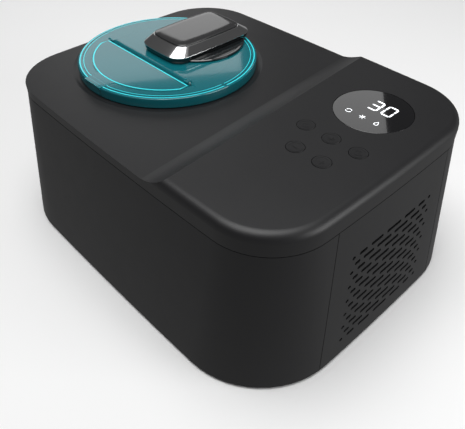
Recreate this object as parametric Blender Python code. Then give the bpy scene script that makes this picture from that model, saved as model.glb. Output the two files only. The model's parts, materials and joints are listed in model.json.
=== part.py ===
"""Countertop compressor ice cream maker, in metres, +Z up.

+X is the vent end, -Y the front. The origin is on the table, in the middle of the casing's foot.
"""

import math

import bmesh
import bpy
from mathutils import Matrix, Vector

# Casing: outline at the seam under the top cover, and at the foot, where it is wider
TOP_HALF_X = 0.184
TOP_HALF_Y = 0.1384
TOP_CORNER = 0.059
FOOT_HALF_X = 0.2012
FOOT_HALF_Y = 0.1586
FOOT_CORNER = 0.085
SIDE_BULGE = 0.0035
SHELL_BASE_Z = 0.003
SEAM_Z = 0.1448
DECK_Z = 0.1531
PANEL_Z = 0.1641
TOP_FILLET = 0.008
WALL = 0.003
GAP = 0.0003

# Crease between the low deck on the left and the key panel on the right
CREASE_X = 0.061
CREASE_SLOPE = 0.075
RAMP_WIDTH = 0.026
RAMP_STEPS = 6

# Bowl and lid axis
BOWL_X = -0.0900
BOWL_Y = -0.0025
DISH_Z = 0.1520
DISH_RADIUS = 0.0930
MOUTH_RADIUS = 0.0803
LID_RADIUS = 0.0901
LID_BASE_Z = 0.1526
LID_TOP_Z = 0.1620
LID_PLATE = 0.0028
POCKET_DEPTH = 0.0016
BOWL_RADIUS = 0.069
BOWL_FLOOR_Z = 0.029
BOWL_RIM_Z = 0.149
BOWL_SHEET = 0.0013
WELL_RADIUS = 0.0725
WELL_FLOOR_Z = 0.0255
WELL_TOP_Z = 0.147
COIL_RADIUS = 0.0764

# Flap over the front of the lid, on a hinge across it
HINGE_Y = -0.0267
HINGE_Z = LID_TOP_Z + 0.0006
FLAP_RADIUS = 0.0755
FLAP_HALF_WIDTH = 0.0655
FLAP_SETBACK = 0.0030
HATCH_RADIUS = 0.0690
HATCH_SETBACK = 0.0050
PIN_RADIUS = 0.0012
PIN_HALF = 0.0635
KNUCKLE_RADIUS = 0.0024
KNUCKLE_HALF = 0.057
EAR_WIDTH = 0.0050

# Drive unit on the lid
DRIVE_Y = 0.0365
DRIVE_HALF_X = 0.0324
DRIVE_HALF_Y = 0.0529
DRIVE_CORNER = 0.016
DRIVE_BASE_Z = LID_TOP_Z + 0.0004
DRIVE_RING_Z = 0.1672
DRIVE_PLATE_Z = 0.1754
DRIVE_TOP_Z = 0.1784
HUB_Y = 0.0378
HUB_RADIUS = 0.0485
HUB_HEIGHT = 0.0020
SHAFT_RADIUS = 0.0040
SHAFT_WAY = 0.0048

# Gear train, 1 mm module
MODULE = 0.001
OUTPUT_TEETH = 16
IDLER_SMALL_TEETH = 10
IDLER_LARGE_TEETH = 30
PINION_TEETH = 12
MESH_CLEARANCE = 0.0002
IDLER_Y = BOWL_Y + (OUTPUT_TEETH + IDLER_SMALL_TEETH) * MODULE / 2 + MESH_CLEARANCE
MOTOR_Y = IDLER_Y + (IDLER_LARGE_TEETH + PINION_TEETH) * MODULE / 2 + MESH_CLEARANCE
LOWER_GEAR_Z = DRIVE_BASE_Z + 0.0040
UPPER_GEAR_Z = DRIVE_BASE_Z + 0.0078
GEAR_TOP_Z = DRIVE_BASE_Z + 0.0106

# Key panel
DISPLAY_X = 0.1188
DISPLAY_Y = 0.0577
DISPLAY_RADIUS = 0.035
KEY_RADIUS = 0.0078
KEY_PITCH = 0.027
KEY_ROW_X = 0.1208
KEY_BACK_Y = -0.002
KEY_FRONT_Y = -0.032

# Vent end
VENT_NEAR_TOP_Y = -0.0664
VENT_NEAR_FOOT_Y = -0.0836
VENT_FAR_Y = 0.0826
SLOT_HEIGHT = 0.0031
SLOT_ROWS = 13
SLOT_LOW_Z = 0.0205
SLOT_HIGH_Z = 0.1075
FAN_Y = 0.004
FAN_Z = 0.066

SEGMENTS = 32


def clear_scene():
    for obj in list(bpy.data.objects):
        bpy.data.objects.remove(obj, do_unlink=True)


def material(name, colour, roughness, metallic=0.0, alpha=1.0):
    found = bpy.data.materials.get(name)
    if found:
        return found
    made = bpy.data.materials.new(name)
    made.use_nodes = True
    shader = made.node_tree.nodes["Principled BSDF"]
    shader.inputs["Base Color"].default_value = (*colour, 1.0)
    shader.inputs["Roughness"].default_value = roughness
    shader.inputs["Metallic"].default_value = metallic
    shader.inputs["Alpha"].default_value = alpha
    return made


def matt_black():
    return material("matt_black", (0.035, 0.035, 0.037), 0.55)


def gloss_black():
    return material("gloss_black", (0.012, 0.012, 0.014), 0.12)


def teal_clear():
    return material("teal_clear", (0.10, 0.50, 0.55), 0.08, alpha=0.6)


def chrome():
    return material("chrome", (0.75, 0.76, 0.78), 0.12, metallic=1.0)


def steel():
    return material("steel", (0.62, 0.63, 0.65), 0.3, metallic=1.0)


def copper():
    return material("copper", (0.72, 0.38, 0.22), 0.3, metallic=1.0)


def rubber():
    return material("rubber", (0.03, 0.03, 0.03), 0.8)


def white_plastic():
    return material("white_plastic", (0.8, 0.8, 0.78), 0.4)


def board_green():
    return material("board_green", (0.03, 0.18, 0.08), 0.5)


def foam_cream():
    return material("foam_cream", (0.80, 0.74, 0.55), 0.9)


def finish(bm, name, finish_material, place=(0, 0, 0), smooth=True):
    """Makes the named object from a bmesh, with its faces turned out and round faces smooth."""
    bmesh.ops.remove_doubles(bm, verts=bm.verts, dist=1e-6)
    bmesh.ops.recalc_face_normals(bm, faces=bm.faces)
    mesh = bpy.data.meshes.new(name)
    bm.to_mesh(mesh)
    bm.free()
    obj = bpy.data.objects.new(name, mesh)
    bpy.context.scene.collection.objects.link(obj)
    obj.location = place
    if finish_material:
        mesh.materials.append(finish_material)
    if smooth:
        mesh.shade_smooth()
        mesh.set_sharp_from_angle(angle=math.radians(35))
    return obj


def as_cutter(obj):
    obj.hide_render = True
    obj.display_type = "WIRE"
    return obj


def boolean(obj, other, operation="DIFFERENCE"):
    """Adds a Boolean with another object, which becomes a hidden helper."""
    modifier = obj.modifiers.new(operation.lower() + "_" + other.name, "BOOLEAN")
    modifier.operation = operation
    modifier.solver = "EXACT"
    modifier.object = as_cutter(other)
    return obj


def rounded_outline(half_x, half_y, corner, bulge, corner_steps=7, side_steps=4):
    """Counter-clockwise rounded rectangle whose sides bow out by the bulge, as (x, y) points."""
    front_radius = (half_x**2 + bulge**2) / (2 * bulge)
    end_radius = (half_y**2 + bulge**2) / (2 * bulge)
    front_centre = Vector((0, front_radius - half_y))
    end_centre = Vector((half_x - end_radius, 0))
    near, far = front_radius - corner, end_radius - corner
    across = end_centre - front_centre
    span = across.length
    along = (near**2 - far**2 + span**2) / (2 * span)
    aside = math.sqrt(near**2 - along**2)
    unit = across / span
    corner_centre = front_centre + unit * along + Vector((-unit.y, unit.x)) * aside
    if corner_centre.y > 0 or corner_centre.x < 0:
        corner_centre = front_centre + unit * along - Vector((-unit.y, unit.x)) * aside
    start = math.atan2(*(corner_centre - front_centre).yx)
    stop = math.atan2(*(corner_centre - end_centre).yx)
    quarter = []
    for step in range(side_steps):
        angle = -math.pi / 2 + (start + math.pi / 2) * step / side_steps
        quarter.append(front_centre + front_radius * Vector((math.cos(angle), math.sin(angle))))
    for step in range(corner_steps):
        angle = start + (stop - start) * step / corner_steps
        quarter.append(corner_centre + corner * Vector((math.cos(angle), math.sin(angle))))
    for step in range(side_steps):
        angle = stop * (1 - step / side_steps)
        quarter.append(end_centre + end_radius * Vector((math.cos(angle), math.sin(angle))))
    end_middle = Vector((half_x, 0))
    right = quarter + [end_middle] + [Vector((p.x, -p.y)) for p in reversed(quarter[1:])]
    left = [Vector((-p.x, -p.y)) for p in right]
    return right + left


def casing_outline(z, inset=0.0):
    """Outline of the casing's outer face at a height, moved in by the inset."""
    t = z / SEAM_Z
    half_x = FOOT_HALF_X + (TOP_HALF_X - FOOT_HALF_X) * t - inset
    half_y = FOOT_HALF_Y + (TOP_HALF_Y - FOOT_HALF_Y) * t - inset
    corner = FOOT_CORNER + (TOP_CORNER - FOOT_CORNER) * t - inset
    return [Vector((p.x, p.y, z)) for p in rounded_outline(half_x, half_y, corner, SIDE_BULGE)]


def bridge(bm, low, high):
    count = len(low)
    for i in range(count):
        j = (i + 1) % count
        bm.faces.new((low[i], low[j], high[j], high[i]))


def loft(name, rings, finish_material, ring_shaped=False, place=(0, 0, 0)):
    """Solid through the rings: capped at both ends, or closed on itself when ring-shaped."""
    bm = bmesh.new()
    made = [[bm.verts.new(p) for p in ring] for ring in rings]
    for low, high in zip(made, made[1:]):
        bridge(bm, low, high)
    if ring_shaped:
        bridge(bm, made[-1], made[0])
    else:
        bm.faces.new(list(reversed(made[0])))
        bm.faces.new(made[-1])
    return finish(bm, name, finish_material, place)


def circle(radius, z, segments=SEGMENTS):
    return [
        Vector((radius * math.cos(math.tau * i / segments), radius * math.sin(math.tau * i / segments), z))
        for i in range(segments)
    ]


def turned(name, profile, finish_material, place=(0, 0, 0), segments=SEGMENTS, hollow=False, axis="Z"):
    """Solid of revolution from (radius, z) points, bottom to top outside, or a closed loop when hollow."""
    bm = bmesh.new()
    made = [[bm.verts.new(p) for p in circle(radius, z, segments)] for radius, z in profile]
    for low, high in zip(made, made[1:]):
        bridge(bm, low, high)
    if hollow:
        bridge(bm, made[-1], made[0])
    else:
        bm.faces.new(list(reversed(made[0])))
        bm.faces.new(made[-1])
    if axis == "X":
        bmesh.ops.transform(bm, matrix=Matrix.Rotation(math.pi / 2, 4, "Y"), verts=bm.verts)
    return finish(bm, name, finish_material, place)


def prism(name, points, low, high, finish_material=None, axis="Z", place=(0, 0, 0)):
    """Closed outline pushed along an axis: (x, y) along Z, (x, z) along Y, or (y, z) along X."""
    spread = {
        "Z": lambda p, d: (p[0], p[1], d),
        "Y": lambda p, d: (p[0], d, p[1]),
        "X": lambda p, d: (d, p[0], p[1]),
    }[axis]
    return loft(
        name,
        [[Vector(spread(p, low)) for p in points], [Vector(spread(p, high)) for p in points]],
        finish_material,
        place=place,
    )


def box(name, low, high, finish_material=None):
    corners = ((low[0], low[1]), (high[0], low[1]), (high[0], high[1]), (low[0], high[1]))
    return prism(name, corners, low[2], high[2], finish_material)


def joined(name, pieces, finish_material):
    """One mesh from several helper pieces, which stay separate shells for a Boolean to use."""
    bm = bmesh.new()
    for piece in pieces:
        start = len(bm.verts)
        bm.from_mesh(piece.data)
        bm.verts.ensure_lookup_table()
        bmesh.ops.translate(bm, vec=piece.location, verts=bm.verts[start:])
        bpy.data.objects.remove(piece, do_unlink=True)
    mesh = bpy.data.meshes.new(name)
    bm.to_mesh(mesh)
    bm.free()
    obj = bpy.data.objects.new(name, mesh)
    bpy.context.scene.collection.objects.link(obj)
    if finish_material:
        mesh.materials.append(finish_material)
    return obj


# ---------------------------------------------------------------- casing

def vent_window(name, clearance):
    """Prism through the vent end between the panel's two seams, wider by the clearance."""
    over = 0.01
    slope = (VENT_NEAR_TOP_Y - VENT_NEAR_FOOT_Y) / SEAM_Z
    points = (
        (VENT_NEAR_FOOT_Y - over * slope - clearance, -over),
        (VENT_FAR_Y + clearance, -over),
        (VENT_FAR_Y + clearance, SEAM_Z + over),
        (VENT_NEAR_TOP_Y + over * slope - clearance, SEAM_Z + over),
    )
    return prism(name, points, 0.12, 0.23, axis="X")


def casing_band(name, low, high, outer, inner, finish_material):
    """Closed wall of the casing between two heights and two insets."""
    corners = ((low, outer), (high, outer), (high, inner), (low, inner))
    rings = [casing_outline(z, inset) for z, inset in corners]
    return loft(name, rings, finish_material, ring_shaped=True)


def make_body_shell():
    shell = casing_band("body_shell", SHELL_BASE_Z, SEAM_Z - GAP, 0.0, WALL, matt_black())
    # The vent end is open for its panel, and two rails inside carry the wall across it.
    notch = casing_band("notch", -0.01, SEAM_Z + 0.01, -0.002, WALL + 2 * GAP, None)
    boolean(notch, vent_window("notch_window", 0.0), "INTERSECT")
    for name, low, high in (("low_rail", 0.0036, 0.012), ("high_rail", 0.134, 0.1442)):
        rail = casing_band(name, low, high, WALL - 0.0005, WALL + 0.0035, None)
        keep = box(name + "_keep", (0.12, -0.105, -0.01), (0.23, 0.105, 0.16))
        boolean(rail, keep, "INTERSECT")
        boolean(shell, rail, "UNION")
    boolean(shell, notch)
    boolean(shell, box("inlet_hole", (0.0447, 0.12, 0.0187), (0.0753, 0.17, 0.0413)))
    return shell


def slot_outline(length, steps=2):
    """Slot with round ends along Y, as (y, z) points about its middle."""
    radius = SLOT_HEIGHT / 2
    reach = length / 2 - radius
    points = []
    for side, start in ((1, -math.pi / 2), (-1, math.pi / 2)):
        for step in range(steps + 1):
            angle = start + math.pi * step / steps
            points.append((side * reach + radius * math.cos(angle), radius * math.sin(angle)))
    return points


def vent_slots():
    """Staggered rows of slots: dots at a row's ends, long slots in its middle."""
    dotted_row = (0.004, 0.010, 0.016, 0.020, 0.016, 0.010, 0.004)
    plain_row = (0.007, 0.014, 0.020, 0.020, 0.014, 0.007)
    slots = []
    for row in range(SLOT_ROWS):
        lean = row / (SLOT_ROWS - 1)
        z = SLOT_LOW_Z + (SLOT_HIGH_Z - SLOT_LOW_Z) * lean
        lengths = plain_row if row % 2 else dotted_row
        inset = 0.0045 if row % 2 else 0.0
        start = -0.058 + 0.010 * lean + inset
        stop = 0.0570 + 0.006 * lean - inset
        space = (stop - start - sum(lengths)) / (len(lengths) - 1)
        y = start
        for length in lengths:
            middle = y + length / 2
            outline = [(middle + across, z + up) for across, up in slot_outline(length)]
            slots.append(prism("slot", outline, 0.165, 0.215, axis="X"))
            y += length + space
    return joined("vent_slot_cutter", slots, None)


def make_end_panel():
    panel = casing_band("end_panel", SHELL_BASE_Z, SEAM_Z - GAP, 0.0, WALL, matt_black())
    boolean(panel, vent_window("panel_window", -GAP), "INTERSECT")
    boolean(panel, vent_slots())
    return panel


def deck_cutter(name, z, push):
    """Solid over the low deck: flat at z, then a hollow ramp up to the crease, swept along the crease."""
    top = 0.20
    points = [(-0.30, z)]
    ramp_start = CREASE_X - RAMP_WIDTH + push
    rise = PANEL_Z - DECK_Z
    for step in range(RAMP_STEPS + 1):
        t = step / RAMP_STEPS
        points.append((ramp_start + RAMP_WIDTH * t, z + rise * (0.35 * t + 0.65 * t * t)))
    edge = CREASE_X + push + 0.0005
    points += [(edge, z + rise + 0.001), (edge, top), (-0.30, top)]
    half = 0.16
    rings = [
        [Vector((x - CREASE_SLOPE * side * half, side * half, height)) for x, height in points]
        for side in (-1, 1)
    ]
    return loft(name, rings, None)


def top_block(name, base_z, top_z, inset, fillet, finish_material):
    rings = [[Vector((p.x, p.y, base_z)) for p in casing_outline(SEAM_Z, inset)]]
    steps = 5
    for step in range(steps + 1):
        angle = math.pi / 2 * step / steps
        shrink = fillet * (1 - math.cos(angle))
        height = top_z - fillet + fillet * math.sin(angle)
        rings.append([Vector((p.x, p.y, height)) for p in casing_outline(SEAM_Z, inset + shrink)])
    return loft(name, rings, finish_material)


def make_top_cover():
    cover = top_block("top_cover", SEAM_Z, PANEL_Z, 0.0, TOP_FILLET, matt_black())
    boolean(cover, deck_cutter("deck_cut", DECK_Z, 0.0))
    hollow = top_block("cover_hollow", SEAM_Z - 0.002, PANEL_Z - WALL, WALL, TOP_FILLET - 0.002, None)
    boolean(hollow, deck_cutter("hollow_cut", DECK_Z - WALL - 0.0005, 0.003))
    boolean(cover, hollow)
    # Round mouth over the bowl, in a shallow dish that the lid's wall stands in
    mouth = turned(
        "mouth_cut",
        (
            (MOUTH_RADIUS, 0.14), (MOUTH_RADIUS, DISH_Z), (DISH_RADIUS - 0.0012, DISH_Z),
            (DISH_RADIUS, DECK_Z + 0.0002), (DISH_RADIUS, 0.17),
        ),
        None,
        (BOWL_X, BOWL_Y, 0),
        48,
    )
    boolean(cover, mouth)
    lens_hole = ((DISPLAY_RADIUS + GAP, 0.15), (DISPLAY_RADIUS + GAP, 0.17))
    boolean(cover, turned("display_cut", lens_hole, None, (DISPLAY_X, DISPLAY_Y, 0)))
    holes = [
        turned("key_hole", ((KEY_RADIUS + GAP, 0.15), (KEY_RADIUS + GAP, 0.17)), None, (x, y, 0), 20)
        for x, y in key_places()
    ]
    boolean(cover, joined("key_holes", holes, None))
    return cover


def key_places():
    back = [(KEY_ROW_X + KEY_PITCH * i, KEY_BACK_Y) for i in (-1, 0, 1)]
    front = [(KEY_ROW_X + KEY_PITCH * i, KEY_FRONT_Y) for i in (-0.45, 0.55)]
    return back + front


def make_keys():
    cap_top = PANEL_Z + 0.0001
    profile = (
        (0.0090, 0.1586),
        (0.0090, 0.1602),
        (KEY_RADIUS, 0.1602),
        (KEY_RADIUS, cap_top - 0.0004),
        (KEY_RADIUS - 0.0004, cap_top),
    )
    for index, (x, y) in enumerate(key_places(), 1):
        local = [(radius, z - cap_top) for radius, z in profile]
        turned("key_cap_%d" % index, local, matt_black(), (x, y, cap_top), 20)


def make_display():
    top = PANEL_Z - 0.0001
    turned(
        "display_lens",
        (
            (DISPLAY_RADIUS + 0.003, 0.1577), (DISPLAY_RADIUS + 0.003, 0.1608), (DISPLAY_RADIUS, 0.1608),
            (DISPLAY_RADIUS, top - 0.0003), (DISPLAY_RADIUS - 0.0003, top),
        ),
        gloss_black(),
        (DISPLAY_X, DISPLAY_Y, 0),
    )
    board_low, board_high = 0.1494, 0.1510
    outline = ((0.083, -0.046), (0.158, -0.046), (0.158, 0.090), (0.083, 0.090))
    board = prism("display_board", outline, board_low, board_high, board_green())
    digits = box("digit_block", (0.105, 0.052, board_high - 0.0005), (0.139, 0.080, 0.1565))
    boolean(board, digits, "UNION")
    for index, (x, y) in enumerate(key_places(), 1):
        stem = ((0.0025, board_high - 0.0005), (0.0025, 0.1574))
        switch = turned("switch_%d" % index, stem, None, (x, y, 0), 12)
        boolean(board, switch, "UNION")
    return board


def make_base():
    tray_low, tray_high = 0.0033, 0.0063
    tray_rings = [casing_outline(z, 0.0070) for z in (tray_low, tray_high)]
    tray = loft("base_tray", tray_rings, matt_black())
    feet = [(x * 0.145, y * 0.105) for x in (-1, 1) for y in (-1, 1)]
    holes = [turned("tray_hole", ((0.0019, -0.01), (0.0019, 0.02)), None, (x, y, 0), 12) for x, y in feet]
    boolean(tray, joined("tray_holes", holes, None))
    names = ("rear_left", "front_left", "rear_right", "front_right")
    places = sorted(feet, key=lambda p: (p[0], -p[1]))
    for name, (x, y) in zip(names, places):
        turned(
            "foot_" + name,
            (
                (0.0045, 0.0), (0.0120, 0.0), (0.0130, 0.0010), (0.0130, 0.0030),
                (0.0019, 0.0030), (0.0019, 0.0022), (0.0045, 0.0022),
            ),
            rubber(),
            (x, y, 0),
            12,
            hollow=True,
        )
        turned(
            "foot_screw_" + name,
            ((0.0034, 0.0006), (0.0038, 0.0010), (0.0038, 0.0019), (0.0015, 0.0019), (0.0015, 0.0095)),
            steel(),
            (x, y, 0),
            12,
        )


# ---------------------------------------------------------------- bowl and cooling

def make_bowl_group():
    centre = (BOWL_X, BOWL_Y, 0)
    sheet = 0.002
    flange = 0.0790
    turned(
        "chilled_well",
        (
            (0.0005, WELL_FLOOR_Z), (WELL_RADIUS, WELL_FLOOR_Z), (WELL_RADIUS, WELL_TOP_Z - sheet),
            (flange, WELL_TOP_Z - sheet), (flange, WELL_TOP_Z), (WELL_RADIUS - sheet, WELL_TOP_Z),
            (WELL_RADIUS - sheet, WELL_FLOOR_Z + sheet), (0.0005, WELL_FLOOR_Z + sheet),
        ),
        steel(),
        centre,
        hollow=True,
    )
    turned(
        "insulation_foam",
        ((MOUTH_RADIUS, 0.0200), (0.0860, 0.0200), (0.0860, 0.1445), (MOUTH_RADIUS, 0.1445)),
        foam_cream(),
        centre,
        hollow=True,
    )
    seat = DISH_Z + GAP
    turned(
        "bowl_collar",
        (
            (0.0738, WELL_TOP_Z + GAP), (0.0799, WELL_TOP_Z + GAP), (0.0799, seat), (0.0840, seat),
            (0.0848, seat + 0.0007), (0.0840, seat + 0.0015), (0.0748, seat + 0.0015),
            (0.0738, seat + 0.0005),
        ),
        matt_black(),
        centre,
        hollow=True,
    )
    inner = BOWL_RADIUS - BOWL_SHEET
    turned(
        "removable_bowl",
        (
            (0.0005, BOWL_FLOOR_Z), (BOWL_RADIUS - 0.010, BOWL_FLOOR_Z),
            (BOWL_RADIUS - 0.003, BOWL_FLOOR_Z + 0.003),
            (BOWL_RADIUS, BOWL_FLOOR_Z + 0.010), (BOWL_RADIUS, BOWL_RIM_Z - 0.0012),
            (0.0725, BOWL_RIM_Z - 0.0012),
            (0.0730, BOWL_RIM_Z - 0.0004), (0.0725, BOWL_RIM_Z + 0.0003), (inner, BOWL_RIM_Z + 0.0003),
            (inner, BOWL_FLOOR_Z + 0.011), (inner - 0.003, BOWL_FLOOR_Z + 0.0045),
            (inner - 0.010, BOWL_FLOOR_Z + 0.0015), (0.0005, BOWL_FLOOR_Z + 0.0015),
        ),
        steel(),
        centre,
        hollow=True,
    )


def tube(name, points, radius, finish_material, resolution=2):
    """Tube along a smooth curve through the points, with filled caps, as a mesh read from the curve."""
    data = bpy.data.curves.new(name, "CURVE")
    data.dimensions = "3D"
    data.bevel_depth = radius
    data.bevel_resolution = resolution
    data.use_fill_caps = True
    spline = data.splines.new("POLY")
    spline.points.add(len(points) - 1)
    for point, place in zip(spline.points, points):
        point.co = (*place, 1.0)
    data.materials.append(finish_material)
    obj = bpy.data.objects.new(name, data)
    bpy.context.scene.collection.objects.link(obj)
    return obj


def smooth_route(knots, steps=5):
    """Points of a Catmull-Rom curve through the knots."""
    places = [Vector(k) for k in knots]
    places = [2 * places[0] - places[1]] + places + [2 * places[-1] - places[-2]]
    route = []
    for a, b, c, d in zip(places, places[1:], places[2:], places[3:]):
        for step in range(steps):
            t = step / steps
            square = (2 * a - 5 * b + 4 * c - d) * t**2
            cube = (3 * b - a - 3 * c + d) * t**3
            route.append(0.5 * (2 * b + (c - a) * t + square + cube))
    route.append(places[-2])
    return route


def make_coil():
    """Evaporator tube wound round the well."""
    turns, per_turn = 3, 20
    low, high = 0.045, 0.130
    points = []
    for step in range(turns * per_turn + 1):
        angle = math.tau * step / per_turn
        z = low + (high - low) * step / (turns * per_turn)
        points.append((BOWL_X + COIL_RADIUS * math.cos(angle), BOWL_Y + COIL_RADIUS * math.sin(angle), z))
    tube("evaporator_coil", points, 0.0026, copper(), 1)


def make_compressor():
    x, y = 0.058, 0.030
    turned(
        "compressor",
        (
            (0.030, 0.0175), (0.044, 0.0215), (0.047, 0.030), (0.047, 0.062), (0.0485, 0.063),
            (0.0485, 0.066),
            (0.047, 0.067), (0.046, 0.088), (0.038, 0.103), (0.022, 0.111), (0.006, 0.113),
        ),
        gloss_black(),
        (x, y, 0),
        24,
    )
    for index in range(3):
        angle = math.radians(90 + 120 * index)
        turned(
            "compressor_mount_%d" % (index + 1),
            (
                (0.0070, 0.0066), (0.0070, 0.0105), (0.0055, 0.0115),
                (0.0055, 0.0130), (0.0070, 0.0140), (0.0070, 0.0172),
            ),
            rubber(),
            (x + 0.022 * math.cos(angle), y + 0.022 * math.sin(angle), 0),
            10,
        )


def make_condenser():
    """Finned block: deep slots between the fins let the fan's air through."""
    low, high = (0.112, -0.056, 0.012), (0.130, 0.064, 0.124)
    block = box("condenser", low, high, steel())
    gaps = 12
    half_gap, frame_bar, over = 0.0026, 0.006, 0.002
    cuts = []
    for index in range(gaps):
        y = low[1] + (high[1] - low[1]) * (index + 0.5) / gaps
        near = (low[0] - over, y - half_gap, low[2] + frame_bar)
        far = (high[0] + over, y + half_gap, high[2] - frame_bar)
        cuts.append(box("fin_gap", near, far))
    boolean(block, joined("fin_gaps", cuts, None))


def make_fan():
    plate_x, plate_thick, half = 0.156, 0.0025, 0.056
    place = (plate_x, FAN_Y, FAN_Z)
    low = (plate_x, FAN_Y - half, 0.0068)
    high = (plate_x + plate_thick, FAN_Y + half, FAN_Z + half)
    shroud = box("fan_shroud", low, high, white_plastic())
    boolean(shroud, turned("fan_throat", ((0.0500, -0.01), (0.0500, 0.03)), None, place, 40, axis="X"))
    near, far, reach, narrow = plate_x + 0.0003, plate_x + 0.0022, 0.053, 0.003
    for name, across, up in (("spoke_a", reach, narrow), ("spoke_b", narrow, reach)):
        spoke = box(name, (near, FAN_Y - across, FAN_Z - up), (far, FAN_Y + across, FAN_Z + up))
        boolean(shroud, spoke, "UNION")
    motor_seat = ((0.0150, 0.0002), (0.0150, 0.0023))
    boolean(shroud, turned("motor_seat", motor_seat, None, place, 24, axis="X"), "UNION")
    boolean(shroud, turned("shaft_hole", ((0.0026, -0.01), (0.0026, 0.02)), None, place, 16, axis="X"))
    turned(
        "fan_motor",
        ((0.0140, -0.0190), (0.0150, -0.0180), (0.0150, -0.0006), (0.0020, -0.0006), (0.0020, 0.0060)),
        steel(),
        place,
        24,
        axis="X",
    )
    hub = turned(
        "fan_rotor",
        (
            (0.0150, 0.0045), (0.0150, 0.0155), (0.0130, 0.0170), (0.0008, 0.0170),
            (0.0008, 0.0085), (0.0024, 0.0085), (0.0024, 0.0045),
        ),
        gloss_black(),
        place,
        28,
        hollow=True,
        axis="X",
    )
    blades, pitch = 7, math.radians(-28)
    for index in range(blades):
        bm = bmesh.new()
        bmesh.ops.create_cube(bm, size=1.0)
        bmesh.ops.scale(bm, vec=(0.0016, 0.0190, 0.0330), verts=bm.verts)
        around = Matrix.Rotation(math.tau * index / blades, 4, "X")
        matrix = around @ Matrix.Translation((0.0105, 0, 0.0295)) @ Matrix.Rotation(pitch, 4, "Z")
        bmesh.ops.transform(bm, matrix=matrix, verts=bm.verts)
        boolean(hub, finish(bm, "blade_%d" % index, None, place, smooth=False), "UNION")


def make_pipes():
    # The suction line runs over the foam and down to the compressor's side
    suction = smooth_route(
        ((0.0165, 0.0800, 0.1180), (0.0080, 0.0900, 0.1240), (-0.0060, 0.1000, 0.1280), (-0.0250, 0.1050, 0.1300))
    )
    tube("suction_line", suction, 0.0028, copper(), 1)
    discharge = smooth_route(
        (
            (0.0870, 0.0850, 0.0300), (0.0960, 0.0920, 0.0600), (0.1050, 0.0900, 0.0900),
            (0.1200, 0.0800, 0.1080), (0.1210, 0.0680, 0.1150),
        )
    )
    tube("discharge_line", discharge, 0.0024, copper(), 1)
    turned(
        "filter_drier",
        ((0.0020, -0.028), (0.0080, -0.022), (0.0080, 0.022), (0.0020, 0.028)),
        copper(),
        (0.060, -0.045, 0.025),
        16,
        axis="X",
    )


def make_power():
    board = box("power_board", (0.010, -0.1060, 0.0068), (0.105, -0.1044, 0.062), board_green())
    parts = (
        ("transformer", (0.018, -0.1050, 0.014), (0.044, -0.0800, 0.044)),
        ("capacitor_bank", (0.052, -0.1050, 0.016), (0.064, -0.0880, 0.042)),
        ("relay", (0.072, -0.1050, 0.020), (0.092, -0.0900, 0.036)),
    )
    for name, low, high in parts:
        boolean(board, box(name, low, high), "UNION")
    inlet = box("power_inlet", (0.045, 0.1360, 0.019), (0.075, 0.1562, 0.041), gloss_black())
    boolean(inlet, box("inlet_recess", (0.048, 0.1420, 0.022), (0.072, 0.1700, 0.038)))
    for name, x in (("pin_left", 0.055), ("pin_right", 0.065)):
        boolean(inlet, box(name, (x - 0.0012, 0.1410, 0.0288), (x + 0.0012, 0.1510, 0.0312)), "UNION")


# ---------------------------------------------------------------- lid, flap and paddle

def clipped_disc(radius, chord, half_width, steps=20):
    """Front part of a disc about the lid's axis: straight at the chord and at both sides, round in front."""
    side = math.asin(min(1.0, half_width / radius))
    start = min(side, math.acos(-chord / radius))
    angles = [start * (2 * i / steps - 1) for i in range(steps + 1)]
    outline = [(radius * math.sin(angle), -radius * math.cos(angle)) for angle in angles]
    if start == side:
        outline += [(half_width, chord), (-half_width, chord)]
    return outline


def flap_outline(margin, setback):
    """The flap's plate, larger by the margin, with its straight edge set back from the hinge line."""
    chord = HINGE_Y - BOWL_Y - setback + margin
    return clipped_disc(FLAP_RADIUS + margin, chord, FLAP_HALF_WIDTH + margin)


def tab_outline(margin):
    """Finger tab of the flap: flares from the round edge and narrows to the lid's rim."""
    wide, narrow = 0.018 + margin, 0.0125 + margin
    root, neck, tip = -0.068, -0.078, margin - LID_RADIUS - 0.0002
    if margin:
        tip = -LID_RADIUS - 0.002
    return ((-wide, root), (-narrow, neck), (-narrow, tip), (narrow, tip), (narrow, neck), (wide, root))


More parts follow.
